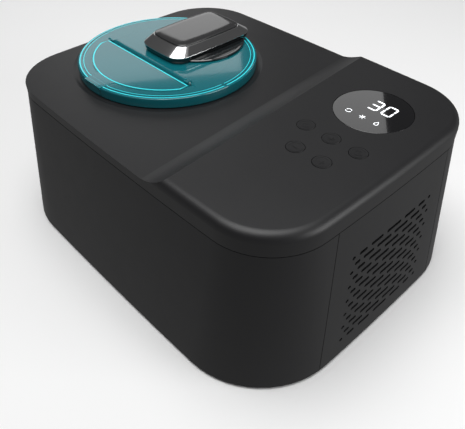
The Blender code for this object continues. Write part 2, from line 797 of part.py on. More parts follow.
def make_lid():
    centre = (BOWL_X, BOWL_Y, 0)
    under = LID_TOP_Z - LID_PLATE
    ledge = under - 0.0006
    skirt = LID_TOP_Z - 0.0060
    wall = LID_RADIUS - 0.0028
    lid = turned(
        "lid",
        (
            (SHAFT_WAY, under), (0.0640, under), (0.0640, skirt), (0.0660, skirt), (0.0660, ledge),
            (wall - 0.0007, ledge), (wall, ledge - 0.0008), (wall, LID_BASE_Z),
            (LID_RADIUS - 0.0006, LID_BASE_Z),
            (LID_RADIUS, LID_BASE_Z + 0.0006), (LID_RADIUS, LID_TOP_Z - 0.0016),
            (LID_RADIUS - 0.0006, LID_TOP_Z - 0.0005), (LID_RADIUS - 0.0018, LID_TOP_Z),
            (SHAFT_WAY, LID_TOP_Z),
        ),
        teal_clear(),
        centre,
        48,
        hollow=True,
    )
    # Rib under the hinge, where the knuckle's groove leaves the plate thin
    rib_low = (BOWL_X - 0.062, HINGE_Y - 0.0045, under - 0.0018)
    rib_high = (BOWL_X + 0.062, HINGE_Y + 0.0040, under + 0.0004)
    boolean(lid, box("hinge_rib", rib_low, rib_high), "UNION")
    # Pocket that the flap lies in, the hatch through its floor, and the notch for the finger tab
    floor = LID_TOP_Z - POCKET_DEPTH
    hatch = clipped_disc(HATCH_RADIUS, HINGE_Y - BOWL_Y - HATCH_SETBACK, HATCH_RADIUS)
    boolean(lid, prism("flap_pocket", flap_outline(0.0004, 0.0), floor, 0.18, place=centre))
    boolean(lid, prism("hatch_hole", hatch, 0.155, 0.18, place=centre))
    boolean(lid, prism("tab_notch", tab_outline(0.0005), floor, 0.18, place=centre))
    knuckle_space = box(
        "knuckle_space",
        (BOWL_X - KNUCKLE_HALF - 0.0004, HINGE_Y - 0.0040, HINGE_Z - 0.0030),
        (BOWL_X + KNUCKLE_HALF + 0.0004, HINGE_Y + 0.0030, 0.18),
    )
    boolean(lid, knuckle_space)
    for name, side in (("ear_left", -1), ("ear_right", 1)):
        near, far = sorted(BOWL_X + side * (KNUCKLE_HALF + 0.0006 + width) for width in (0.0, EAR_WIDTH))
        low = (near, HINGE_Y - 0.0024, LID_TOP_Z - 0.0024)
        high = (far, HINGE_Y + 0.0030, HINGE_Z + 0.0018)
        ear = box(name, low, high)
        boolean(lid, ear, "UNION")
    hinge = (BOWL_X, HINGE_Y, HINGE_Z)
    bore = PIN_RADIUS + GAP
    boolean(lid, turned("pin_bore", ((bore, -0.070), (bore, 0.070)), None, hinge, 12, axis="X"))
    turned("flap_hinge_pin", ((PIN_RADIUS, -PIN_HALF), (PIN_RADIUS, PIN_HALF)), steel(), hinge, 12, axis="X")


def make_flap():
    """The flap's origin is on its hinge line."""
    hinge = (BOWL_X, HINGE_Y, HINGE_Z)
    shift = BOWL_Y - HINGE_Y
    low = LID_TOP_Z - POCKET_DEPTH + GAP - HINGE_Z
    high = LID_TOP_Z + 0.0004 - HINGE_Z
    outline = [(x, y + shift) for x, y in flap_outline(0.0, FLAP_SETBACK)]
    plate = prism("lid_flap", outline, low, high, teal_clear(), place=hinge)
    tab = prism("tab", [(x, y + shift) for x, y in tab_outline(0.0)], low, high, place=hinge)
    boolean(plate, tab, "UNION")
    web = box(
        "web",
        (BOWL_X - KNUCKLE_HALF, HINGE_Y - 0.0045, LID_TOP_Z - 0.0012),
        (BOWL_X + KNUCKLE_HALF, HINGE_Y, LID_TOP_Z + 0.0003),
    )
    boolean(plate, web, "UNION")
    knuckle = ((KNUCKLE_RADIUS, -KNUCKLE_HALF), (KNUCKLE_RADIUS, KNUCKLE_HALF))
    boolean(plate, turned("barrel", knuckle, None, hinge, 16, axis="X"), "UNION")
    bore = PIN_RADIUS + GAP
    boolean(plate, turned("barrel_bore", ((bore, -0.070), (bore, 0.070)), None, hinge, 12, axis="X"))


def drive_ring(z, side, end):
    """The drive's rounded outline at a height, moved in by the side inset along X and the end inset along Y."""
    corner = max(DRIVE_CORNER - side, 0.004)
    points = rounded_outline(DRIVE_HALF_X - side, DRIVE_HALF_Y - end, corner, 0.0016, 4, 2)
    return [Vector((p.x, p.y, z)) for p in points]


def drive_loft(name, profile, mat, ring_shaped=False):
    rings = [drive_ring(z, side, end) for z, side, end in profile]
    return loft(name, rings, mat, ring_shaped=ring_shaped, place=(BOWL_X, DRIVE_Y, 0))


def make_drive_unit():
    base, ring, plate, top = DRIVE_BASE_Z, DRIVE_RING_Z, DRIVE_PLATE_Z, DRIVE_TOP_Z
    hub_top = base + HUB_HEIGHT
    hub_place = (BOWL_X, HUB_Y, 0)
    # Low block whose wall stands astride the round hub disc
    block = (
        (base, 0.0020, 0.0020), (base + 0.0025, 0.0008, 0.0008), (ring, 0.0006, 0.0006),
        (ring, 0.0030, 0.0030), (base, 0.0030, 0.0030),
    )
    housing = drive_loft("drive_housing", block, gloss_black(), ring_shaped=True)
    clear = HUB_RADIUS + GAP
    boolean(housing, turned("hub_clearance", ((clear, 0.16), (clear, hub_top + GAP)), None, hub_place))
    hub = turned(
        "drive_hub",
        (
            (HUB_RADIUS - 0.0004, base), (HUB_RADIUS, base + 0.0004), (HUB_RADIUS, hub_top - 0.0006),
            (HUB_RADIUS - 0.0008, hub_top),
        ),
        gloss_black(),
        hub_place,
    )
    shaft_way = ((SHAFT_WAY, 0.16), (SHAFT_WAY, 0.17))
    boolean(hub, turned("hub_shaft_way", shaft_way, None, (BOWL_X, BOWL_Y, 0), 20))
    # Sloping bright shell, steeper at the sides than at the ends
    trim = (
        (ring + 0.0003, 0.0008, 0.0008), (ring + 0.0008, 0.0002, 0.0002), (ring + 0.0016, 0.0, 0.0),
        (plate + 0.0002, 0.0058, 0.0108), (plate + 0.0006, 0.0062, 0.0112), (plate + 0.0006, 0.0068, 0.0118),
        (plate - 0.0002, 0.0068, 0.0118), (plate - 0.0002, 0.0082, 0.0140), (ring + 0.0016, 0.0028, 0.0034),
        (ring + 0.0003, 0.0028, 0.0034),
    )
    drive_loft("drive_trim", trim, chrome(), ring_shaped=True)
    crown = (
        (plate + 0.0001, 0.0071, 0.0121), (top - 0.0018, 0.0071, 0.0121), (top - 0.0010, 0.0084, 0.0136),
        (top - 0.0003, 0.0120, 0.0175), (top, 0.0160, 0.0220),
    )
    drive_loft("drive_top_plate", crown, gloss_black())


def gear_outline(teeth, phase):
    """Closed outline with straight-sided teeth; a tooth's middle is at the phase angle."""
    pitch_radius = teeth * MODULE / 2
    pitch = math.tau / teeth
    shape = ((-0.26, -1.1), (-0.10, 0.85), (0.10, 0.85), (0.26, -1.1))
    points = []
    for tooth in range(teeth):
        for across, height in shape:
            angle = phase + (tooth + across) * pitch
            radius = pitch_radius + height * MODULE
            points.append((radius * math.cos(angle), radius * math.sin(angle)))
    return points


def bored_prism(name, outline, bore, low, high, finish_material, place):
    """Outline with a round bore, as one solid."""
    obj = prism(name, outline, low, high, finish_material, place=place)
    cut = turned(name + "_bore", ((bore, low - 0.001), (bore, high + 0.001)), None, place, 16)
    return boolean(obj, cut)


def make_gear_train():
    """Motor pinion to large idler above, small idler to output gear below, all on the drive's middle line."""
    up, down = math.pi / 2, -math.pi / 2
    overlap = 0.0005
    lower, upper, top = LOWER_GEAR_Z, UPPER_GEAR_Z, GEAR_TOP_Z
    centre = (BOWL_X, BOWL_Y, 0)
    idler_place = (BOWL_X, IDLER_Y, 0)
    motor_place = (BOWL_X, MOTOR_Y, 0)
    output = gear_outline(OUTPUT_TEETH, up + math.pi / OUTPUT_TEETH)
    bored_prism("output_gear", output, 0.0030, lower, upper - 0.0008, white_plastic(), centre)
    large = gear_outline(IDLER_LARGE_TEETH, up + math.pi / IDLER_LARGE_TEETH)
    idler = prism("idler_gear", large, upper, top, white_plastic(), place=idler_place)
    small = gear_outline(IDLER_SMALL_TEETH, down)
    boolean(idler, prism("idler_small", small, lower, upper + overlap, place=idler_place), "UNION")
    boolean(idler, turned("idler_bore", ((0.0018, 0.16), (0.0018, 0.185)), None, idler_place, 16))
    turned(
        "idler_axle",
        ((0.0030, lower - 0.0015), (0.0030, lower - 0.0006), (0.0015, lower - 0.0006),
        (0.0015, top + 0.0010)),
        steel(),
        idler_place,
        16,
    )
    pinion = gear_outline(PINION_TEETH, down)
    bored_prism("motor_pinion", pinion, 0.0016, upper, top, steel(), motor_place)
    can_low, can_top = DRIVE_BASE_Z + 0.0024, upper - 0.0006
    turned(
        "stirring_motor",
        (
            (0.0120, can_low), (0.0140, can_low + 0.0006), (0.0140, can_top - 0.0006), (0.0120, can_top),
            (0.0013, can_top), (0.0013, top),
        ),
        steel(),
        motor_place,
        24,
    )


def make_paddle():
    """Output shaft from the gear down to the bowl, and the paddle that pushes on to it."""
    centre = (BOWL_X, BOWL_Y, 0)
    shoulder = LOWER_GEAR_Z - 0.0006
    turned(
        "output_shaft",
        ((SHAFT_RADIUS, 0.1420), (SHAFT_RADIUS, shoulder), (0.0027, shoulder),
        (0.0027, UPPER_GEAR_Z - 0.0010)),
        steel(),
        centre,
        20,
    )
    low, arm, top = 0.0330, 0.0450, 0.1380
    reach, bar, stem, half_thick = 0.0640, 0.0060, 0.0060, 0.0020
    outline = (
        (-reach, low + 0.004), (-reach + 0.006, low), (reach - 0.006, low), (reach, low + 0.004),
        (reach, top),
        (reach - bar, top), (reach - bar, arm), (stem, arm), (stem, top), (-stem, top), (-stem, arm),
        (-reach + bar, arm), (-reach + bar, top), (-reach, top),
    )
    blade = prism("paddle", outline, -half_thick, half_thick, white_plastic(), axis="Y", place=centre)
    hub = turned(
        "paddle_hub",
        ((0.0070, low), (0.0085, low + 0.010), (0.0085, 0.1500), (0.0075, 0.1510)),
        None,
        centre,
        24,
    )
    boolean(blade, hub, "UNION")
    socket_radius = SHAFT_RADIUS + GAP
    socket = ((socket_radius, 0.1415), (socket_radius, 0.1600))
    boolean(blade, turned("paddle_socket", socket, None, centre, 20))


def main():
    clear_scene()
    make_base()
    make_body_shell()
    make_end_panel()
    make_top_cover()
    make_keys()
    make_display()
    make_bowl_group()
    make_coil()
    make_compressor()
    make_condenser()
    make_fan()
    make_pipes()
    make_power()
    make_lid()
    make_flap()
    make_drive_unit()
    make_gear_train()
    make_paddle()


main()
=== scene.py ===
"""Ice cream maker: the visible surfaces, materials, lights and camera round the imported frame."""

import json
import math

import bmesh
import bpy
from mathutils import Matrix, Vector


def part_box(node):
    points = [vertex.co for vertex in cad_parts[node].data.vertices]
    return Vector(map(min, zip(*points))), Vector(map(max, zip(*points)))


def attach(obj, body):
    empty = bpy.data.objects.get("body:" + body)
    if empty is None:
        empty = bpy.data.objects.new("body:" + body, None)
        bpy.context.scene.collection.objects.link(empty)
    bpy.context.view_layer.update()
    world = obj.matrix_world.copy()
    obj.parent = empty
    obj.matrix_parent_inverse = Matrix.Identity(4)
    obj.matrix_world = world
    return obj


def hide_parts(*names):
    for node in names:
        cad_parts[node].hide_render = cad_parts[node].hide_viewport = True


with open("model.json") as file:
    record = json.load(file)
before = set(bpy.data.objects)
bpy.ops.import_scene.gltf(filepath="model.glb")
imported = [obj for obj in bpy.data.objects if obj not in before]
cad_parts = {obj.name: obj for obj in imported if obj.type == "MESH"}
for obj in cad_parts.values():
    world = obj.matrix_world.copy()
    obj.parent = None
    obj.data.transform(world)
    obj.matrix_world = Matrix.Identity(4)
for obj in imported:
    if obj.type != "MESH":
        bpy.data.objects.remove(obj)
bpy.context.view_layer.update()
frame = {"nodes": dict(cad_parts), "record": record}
nodes = frame["nodes"]

# Heights and places that the fine pieces share with the frame, in metres
LIFT = 0.00004
cover_low, cover_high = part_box("top_cover")
shell_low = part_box("body_shell")[0]
lid_low, lid_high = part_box("lid")
lens_low, lens_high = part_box("display_lens")
BOWL_X = (lid_low[0] + lid_high[0]) / 2
BOWL_Y = (lid_low[1] + lid_high[1]) / 2
LENS_X = (lens_low[0] + lens_high[0]) / 2
LENS_Y = (lens_low[1] + lens_high[1]) / 2
LENS_TOP = lens_high[2]

# Shapes that repeat the frame's own, in metres
TOP_HALF_X, TOP_HALF_Y, TOP_CORNER = 0.184, 0.1384, 0.059
FOOT_HALF_X, FOOT_HALF_Y, FOOT_CORNER = 0.2012, 0.1586, 0.085
SIDE_BULGE = 0.0035
SHELL_BASE_Z = shell_low[2]
SEAM_Z = cover_low[2]
PANEL_Z = cover_high[2]
DECK_Z = 0.1531
TOP_FILLET = 0.008
WALL = 0.003
GAP = 0.0003
SEAM_GAP = 0.0006
# Width of the painted highlight stroke round the flap
PAINTED_HIGHLIGHT_WIDTH = 0.0013
CREASE_X, CREASE_SLOPE, RAMP_WIDTH = 0.061, 0.075, 0.026
LID_RADIUS = (lid_high[0] - lid_low[0]) / 2
LID_TOP = 0.1620
POCKET_DEPTH = 0.0016
FLAP_RADIUS, FLAP_HALF_WIDTH, FLAP_SETBACK = 0.0755, 0.0655, 0.0030
HATCH_RADIUS, HATCH_SETBACK = 0.0690, 0.0050
HINGE_Y, HINGE_Z = -0.0267, 0.1626
PIN_RADIUS, PIN_HALF, KNUCKLE_RADIUS, KNUCKLE_HALF = 0.0012, 0.0635, 0.0024, 0.057
DISH_Z, DISH_RADIUS = 0.1520, 0.0930
DRIVE_Y, DRIVE_HALF_X, DRIVE_HALF_Y, DRIVE_CORNER = 0.0365, 0.0324, 0.0529, 0.016
DRIVE_RING_Z, DRIVE_PLATE_Z, DRIVE_TOP_Z = 0.1672, 0.1754, 0.1784
HUB_Y, HUB_RADIUS, HUB_HEIGHT, SHAFT_WAY = 0.0378, 0.0485, 0.0020, 0.0048

# Camera: where it stands, and how it is turned
CAMERA_PLACE = (0.3304, -0.3126, 0.4166)
CAMERA_AZIMUTH = math.radians(46.24)
CAMERA_DROP = math.radians(42.60)
CAMERA_ROLL = math.radians(0.47)
CAMERA_LENS = 42.22

# Card whose reflection covers the left two thirds of the lens
LENS_CARD_PLACE = (-0.473, 0.960, 0.8)
LENS_CARD_TURN = math.radians(38)


# ---------------------------------------------------------------- camera, floor and light

def make_camera():
    data = bpy.data.cameras.new("camera")
    data.lens = CAMERA_LENS
    data.sensor_width = 36.0
    camera = bpy.data.objects.new("camera", data)
    bpy.context.scene.collection.objects.link(camera)
    turn = Matrix.Rotation(CAMERA_AZIMUTH, 4, "Z")
    tilt = Matrix.Rotation(math.pi / 2 - CAMERA_DROP, 4, "X")
    roll = Matrix.Rotation(CAMERA_ROLL, 4, "Z")
    camera.matrix_world = Matrix.Translation(CAMERA_PLACE) @ turn @ tilt @ roll
    bpy.context.scene.camera = camera


def area_light(name, place, target, size, power, colour=(1, 1, 1), size_y=None):
    data = bpy.data.lights.new(name, "AREA")
    data.energy = power
    data.color = colour
    data.size = size
    if size_y:
        data.shape = "RECTANGLE"
        data.size_y = size_y
    light = bpy.data.objects.new(name, data)
    bpy.context.scene.collection.objects.link(light)
    light.location = place
    light.rotation_euler = (Vector(target) - Vector(place)).to_track_quat("-Z", "Y").to_euler()
    return light


def make_stage():
    bm = bmesh.new()
    bmesh.ops.create_grid(bm, x_segments=1, y_segments=1, size=6.0)
    mesh = bpy.data.meshes.new("floor")
    bm.to_mesh(mesh)
    bm.free()
    floor = bpy.data.objects.new("floor", mesh)
    bpy.context.scene.collection.objects.link(floor)
    mat = bpy.data.materials.new("floor_white")
    mat.use_nodes = True
    shader = mat.node_tree.nodes["Principled BSDF"]
    shader.inputs["Base Color"].default_value = (0.92, 0.92, 0.92, 1)
    shader.inputs["Roughness"].default_value = 0.9
    mesh.materials.append(mat)
    floor.visible_glossy = False
    floor.visible_diffuse = False
    world = bpy.data.worlds.new("studio")
    bpy.context.scene.world = world
    world.use_nodes = True
    nodes, links = world.node_tree.nodes, world.node_tree.links
    split = nodes.new("ShaderNodeSeparateXYZ")
    height = nodes.new("ShaderNodeMapRange")
    height.inputs["From Min"].default_value = -1.0
    fade = nodes.new("ShaderNodeValToRGB")
    levels = ((0.0, 0.30), (0.50, 0.28), (0.56, 0.07), (0.85, 0.07), (1.0, 0.60))
    while len(fade.color_ramp.elements) < len(levels):
        fade.color_ramp.elements.new(0.5)
    for element, (place, level) in zip(fade.color_ramp.elements, levels):
        element.position = place
        element.color = (level, level, level, 1)
    links.new(nodes.new("ShaderNodeTexCoord").outputs["Generated"], split.inputs[0])
    links.new(split.outputs["Z"], height.inputs["Value"])
    links.new(height.outputs["Result"], fade.inputs["Fac"])
    links.new(fade.outputs["Color"], nodes["Background"].inputs["Strength"])
    nodes["Background"].inputs["Color"].default_value = (1, 1, 1, 1)
    area_light("key_top", (-0.1, -0.2, 1.8), (0, 0, 0.1), 1.4, 27)
    area_light("left_soft", (-1.5, 0.85, 0.75), (-0.05, 0, 0.15), 0.9, 1.8, size_y=0.6)
    area_light("right_fill", (1.3, 0.5, 0.45), (0.2, 0, 0.08), 0.8, 9)
    under_card = (LENS_CARD_PLACE[0], LENS_CARD_PLACE[1], 0)
    card = area_light("lens_card", LENS_CARD_PLACE, under_card, 0.20, 0.17, size_y=0.34)
    card.rotation_euler = (0, 0, LENS_CARD_TURN)
    scene = bpy.context.scene
    scene.view_settings.view_transform = "Standard"
    scene.view_settings.look = "None"


# ---------------------------------------------------------------- materials

class Surface:
    """A node material built in steps: base colour, variation, roughness and fine bump."""

    def __init__(self, name, colour, roughness, metallic=0.0, **extra):
        self.material = bpy.data.materials.new(name)
        self.material.use_nodes = True
        self.tree = self.material.node_tree
        self.shader = self.tree.nodes["Principled BSDF"]
        self.colour = (*colour, 1.0)
        self.shader.inputs["Base Color"].default_value = self.colour
        self.shader.inputs["Roughness"].default_value = roughness
        self.shader.inputs["Metallic"].default_value = metallic
        for key, value in extra.items():
            self.shader.inputs[key.replace("_", " ")].default_value = value
        self.roughness = roughness
        self.coords = self.tree.nodes.new("ShaderNodeTexCoord")

    def noise(self, scale, detail=4.0, stretch=(1, 1, 1)):
        mapping = self.tree.nodes.new("ShaderNodeMapping")
        mapping.inputs["Scale"].default_value = stretch
        texture = self.tree.nodes.new("ShaderNodeTexNoise")
        texture.inputs["Scale"].default_value = scale
        texture.inputs["Detail"].default_value = detail
        self.tree.links.new(self.coords.outputs["Object"], mapping.inputs["Vector"])
        self.tree.links.new(mapping.outputs["Vector"], texture.inputs["Vector"])
        return texture.outputs["Fac"]

    def vary_colour(self, scale, low, high, stretch=(1, 1, 1)):
        ramp = self.tree.nodes.new("ShaderNodeMapRange")
        ramp.inputs["To Min"].default_value = low
        ramp.inputs["To Max"].default_value = high
        self.tree.links.new(self.noise(scale, stretch=stretch), ramp.inputs["Value"])
        mix = self.tree.nodes.new("ShaderNodeMix")
        mix.data_type = "RGBA"
        mix.blend_type = "MULTIPLY"
        mix.inputs[0].default_value = 1.0
        mix.inputs[6].default_value = self.colour
        self.tree.links.new(ramp.outputs["Result"], mix.inputs[7])
        self.tree.links.new(mix.outputs[2], self.shader.inputs["Base Color"])
        return self

    def vary_roughness(self, scale, spread, stretch=(1, 1, 1)):
        ramp = self.tree.nodes.new("ShaderNodeMapRange")
        ramp.inputs["To Min"].default_value = self.roughness - spread
        ramp.inputs["To Max"].default_value = self.roughness + spread
        self.tree.links.new(self.noise(scale, stretch=stretch), ramp.inputs["Value"])
        self.tree.links.new(ramp.outputs["Result"], self.shader.inputs["Roughness"])
        return self

    def bump(self, scale, strength, distance=0.0002, stretch=(1, 1, 1), detail=4.0):
        node = self.tree.nodes.new("ShaderNodeBump")
        node.inputs["Strength"].default_value = strength
        node.inputs["Distance"].default_value = distance
        self.tree.links.new(self.noise(scale, detail, stretch), node.inputs["Height"])
        self.tree.links.new(node.outputs["Normal"], self.shader.inputs["Normal"])
        return self


def build_materials():
    made = {}
    made["matt_black"] = (
        Surface("matt_black", (0.011, 0.011, 0.012), 0.45)
        .vary_colour(9, 0.93, 1.07)
        .vary_roughness(60, 0.03)
        .bump(2600, 0.10, 0.00012)
    )
    made["gloss_black"] = (
        Surface("gloss_black", (0.010, 0.012, 0.013), 0.10, Coat_Weight=0.6, Coat_Roughness=0.04)
        .vary_roughness(40, 0.02)
        .bump(60, 0.02, 0.0001)
    )
    made["top_gloss"] = (
        Surface("top_gloss", (0.030, 0.030, 0.031), 0.16, Coat_Weight=0.5, Coat_Roughness=0.05)
        .vary_colour(14, 0.92, 1.08)
        .bump(40, 0.015, 0.0001)
    )
    made["display_glass"] = (
        Surface("display_glass", (0.004, 0.004, 0.005), 0.06, Coat_Weight=1.0, Coat_Roughness=0.02)
        .vary_roughness(30, 0.015)
        .bump(25, 0.01, 0.0001)
    )
    made["chrome"] = (
        Surface("chrome", (0.80, 0.80, 0.81), 0.13, 1.0)
        .vary_colour(22, 0.93, 1.05)
        .vary_roughness(300, 0.04, (1, 1, 6))
        .bump(900, 0.03, 0.00005, (1, 1, 5))
    )
    made["steel"] = (
        Surface("steel", (0.60, 0.61, 0.62), 0.30, 1.0)
        .vary_roughness(200, 0.08, (1, 1, 8))
        .bump(1400, 0.10, 0.00005, (1, 1, 8))
    )
    made["aluminium"] = (
        Surface("aluminium", (0.70, 0.71, 0.72), 0.34, 1.0)
        .vary_roughness(160, 0.08, (1, 1, 12))
        .bump(1200, 0.12, 0.00005, (1, 1, 12))
    )
    made["copper"] = (
        Surface("copper", (0.72, 0.36, 0.20), 0.28, 1.0)
        .vary_colour(60, 0.75, 1.1)
        .bump(300, 0.05, 0.0001)
    )
    made["rubber"] = (
        Surface("rubber", (0.022, 0.022, 0.022), 0.78)
        .vary_colour(80, 0.8, 1.2)
        .bump(900, 0.25, 0.0002)
    )
    made["foam"] = (
        Surface("foam", (0.78, 0.70, 0.50), 0.95)
        .vary_colour(120, 0.8, 1.1)
        .bump(420, 0.7, 0.0008)
    )
    made["white_plastic"] = (
        Surface("white_plastic", (0.78, 0.78, 0.75), 0.38)
        .vary_colour(30, 0.95, 1.03)
        .bump(1500, 0.08, 0.0001)
    )
    made["circuit_board"] = (
        Surface("circuit_board", (0.02, 0.15, 0.06), 0.45)
        .vary_colour(260, 0.6, 1.3, (1, 6, 1))
        .bump(700, 0.2, 0.0001)
    )
    made["black_enamel"] = (
        Surface("black_enamel", (0.015, 0.015, 0.016), 0.22)
        .vary_colour(50, 0.8, 1.2)
        .bump(350, 0.08, 0.0002)
    )
    made["teal_clear"] = teal(
        Surface(
            "teal_clear", (0.010, 0.250, 0.300), 0.09,
            Transmission_Weight=0.45, IOR=1.49, Coat_Weight=0.5, Coat_Roughness=0.03,
        )
    )
    # Painted edge highlight: a bright teal that glows a little, laid on the clear plastic's bevelled edges
    # and highlight strokes
    made["teal_painted_edge_glow"] = teal(
        Surface(
            "teal_painted_edge_glow", (0.050, 0.720, 0.800), 0.15,
            IOR=1.49, Emission_Strength=0.12,
        )
    )
    made["lit_white"] = (
        Surface("lit_white", (0.95, 0.97, 1.0), 0.4, Emission_Strength=1.3)
        .vary_colour(400, 0.97, 1.0)
    )
    # Glow colour of the painted edge highlight
    made["teal_painted_edge_glow"].shader.inputs["Emission Color"].default_value = (0.05, 0.85, 0.95, 1)
    made["lit_white"].shader.inputs["Emission Color"].default_value = (0.93, 0.97, 1.0, 1)
    made["key_black"] = (
        Surface("key_black", (0.010, 0.010, 0.011), 0.42)
        .vary_colour(12, 0.93, 1.07)
        .vary_roughness(60, 0.03)
        .bump(2200, 0.08, 0.0001)
    )
    made["sign_grey"] = (
        Surface("sign_grey", (0.012, 0.012, 0.013), 0.5)
        .vary_colour(400, 0.9, 1.1)
        .bump(900, 0.05, 0.0001)
    )
    return {name: surface.material for name, surface in made.items()}


def teal(surface):
    return surface.vary_colour(10, 0.92, 1.08).bump(30, 0.02, 0.0002)


# ---------------------------------------------------------------- mesh helpers

def finish_mesh(bm, name, mat, body, place=(0, 0, 0), angle=32, ride=True):
    bmesh.ops.remove_doubles(bm, verts=bm.verts, dist=1e-6)
    bmesh.ops.recalc_face_normals(bm, faces=bm.faces)
    mesh = bpy.data.meshes.new(name)
    bm.to_mesh(mesh)
    bm.free()
    mesh.shade_smooth()
    mesh.set_sharp_from_angle(angle=math.radians(angle))
    obj = bpy.data.objects.new(name, mesh)
    bpy.context.scene.collection.objects.link(obj)
    obj.location = place
    if mat:
        mesh.materials.append(mat)
    if ride:
        bpy.context.view_layer.update()
        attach(obj, body)
    return obj


def prism_into(bm, points, low, high):
    """Adds a closed (x, y) outline pushed from low to high."""
    bottom = [bm.verts.new((x, y, low)) for x, y in points]
    top = [bm.verts.new((x, y, high)) for x, y in points]
    for i, corner in enumerate(bottom):
        j = (i + 1) % len(bottom)
        bm.faces.new((corner, bottom[j], top[j], top[i]))
    bm.faces.new(list(reversed(bottom)))
    bm.faces.new(top)


def stroke_into(bm, points, width, low, high, closed=False):
    """Adds a flat line of even width through (x, y) points, with square ends."""
    path = [Vector(p) for p in points]
    count = len(path)
    sides = []
    for i, here in enumerate(path):
        before = path[i - 1] if i or closed else here
        after = path[(i + 1) % count] if i < count - 1 or closed else here
        along = (after - before).normalized()
        across = Vector((-along.y, along.x)) * width / 2
        sides.append((here - across, here + across))
    last = count if closed else count - 1
    for i in range(last):
        (a, b), (c, d) = sides[i], sides[(i + 1) % count]
        prism_into(bm, (a, c, d, b), low, high)


def arc_points(x, y, radius, start, stop, steps=14):
    return [
        (x + radius * math.cos(math.radians(start + (stop - start) * i / steps)),
         y + radius * math.sin(math.radians(start + (stop - start) * i / steps)))
        for i in range(steps + 1)
    ]


# ---------------------------------------------------------------- casing

def rounded_outline(half_x, half_y, corner, bulge, corner_steps=14, side_steps=8):
    """Counter-clockwise rounded rectangle whose sides bow out by the bulge."""
    front_radius = (half_x**2 + bulge**2) / (2 * bulge)
    end_radius = (half_y**2 + bulge**2) / (2 * bulge)
    front_centre = Vector((0, front_radius - half_y))
    end_centre = Vector((half_x - end_radius, 0))
    near, far = front_radius - corner, end_radius - corner
    across = end_centre - front_centre
    span = across.length
    along = (near**2 - far**2 + span**2) / (2 * span)
    aside = math.sqrt(near**2 - along**2)
    unit = across / span
    centre = front_centre + unit * along + Vector((-unit.y, unit.x)) * aside
    if centre.y > 0 or centre.x < 0:
        centre = front_centre + unit * along - Vector((-unit.y, unit.x)) * aside
    start = math.atan2(*(centre - front_centre).yx)
    stop = math.atan2(*(centre - end_centre).yx)
    arcs = (
        (front_centre, front_radius, -math.pi / 2, start, side_steps),
        (centre, corner, start, stop, corner_steps),
        (end_centre, end_radius, stop, 0.0, side_steps),
    )
    quarter = [
        middle + radius * Vector((math.cos(a + (b - a) * i / steps), math.sin(a + (b - a) * i / steps)))
        for middle, radius, a, b, steps in arcs
        for i in range(steps)
    ]
    right = quarter + [Vector((half_x, 0))] + [Vector((p.x, -p.y)) for p in reversed(quarter[1:])]
    return right + [Vector((-p.x, -p.y)) for p in right]


def casing_outline(z, inset=0.0, height=None):
    """Outline of the casing at a height, moved in by the inset; drawn at another height if given."""
    t = z / SEAM_Z
    points = rounded_outline(
        FOOT_HALF_X + (TOP_HALF_X - FOOT_HALF_X) * t - inset,
        FOOT_HALF_Y + (TOP_HALF_Y - FOOT_HALF_Y) * t - inset,
        FOOT_CORNER + (TOP_CORNER - FOOT_CORNER) * t - inset,
        SIDE_BULGE,
    )
    return [Vector((p.x, p.y, z if height is None else height)) for p in points]


def loft(rings, ring_shaped=False, place=(0, 0, 0)):
    bm = bmesh.new()
    made = [[bm.verts.new(p) for p in ring] for ring in rings]
    pairs = list(zip(made, made[1:])) + ([(made[-1], made[0])] if ring_shaped else [])
    for low, high in pairs:
        for i, corner in enumerate(low):
            j = (i + 1) % len(low)
            bm.faces.new((corner, low[j], high[j], high[i]))
    if not ring_shaped:
        bm.faces.new(list(reversed(made[0])))
        bm.faces.new(made[-1])
    return finish_mesh(bm, "shape", None, None, place, ride=False)


def turned(profile, place=(0, 0, 0), segments=128, hollow=False, axis="Z"):
    """Solid of revolution from (radius, z) points, or a closed loop of them when hollow."""
    rings = [
        [
            Vector((r * math.cos(math.tau * i / segments), r * math.sin(math.tau * i / segments), z))
            for i in range(segments)
        ]
        for r, z in profile
    ]
    if axis == "X":
        rings = [[Vector((p.z, p.y, -p.x)) for p in ring] for ring in rings]
    return loft(rings, hollow, place)


def prism(points, low, high, axis="Z", place=(0, 0, 0)):
    spread = {"Z": lambda p, d: (p[0], p[1], d), "X": lambda p, d: (d, p[0], p[1])}[axis]
    rings = [[Vector(spread(p, level)) for p in points] for level in (low, high)]
    return loft(rings, place=place)


def box(low, high):
    outline = ((low[0], low[1]), (high[0], low[1]), (high[0], high[1]), (low[0], high[1]))
    return prism(outline, low[2], high[2])


def evaluated(obj):
    """Puts an object's modifiers into its mesh."""
    bpy.context.view_layer.update()
    graph = bpy.context.evaluated_depsgraph_get()
    mesh = bpy.data.meshes.new_from_object(obj.evaluated_get(graph))
    obj.modifiers.clear()
    obj.data = mesh
    return obj


def combine(obj, others, operation="DIFFERENCE"):
    """Cuts, joins or intersects with helper shapes, which are used up."""
    for other in others:
        modifier = obj.modifiers.new("combine", "BOOLEAN")
        modifier.operation = operation
        modifier.solver = "EXACT"
        modifier.object = other
        evaluated(obj)
        bpy.data.objects.remove(other, do_unlink=True)
    return obj


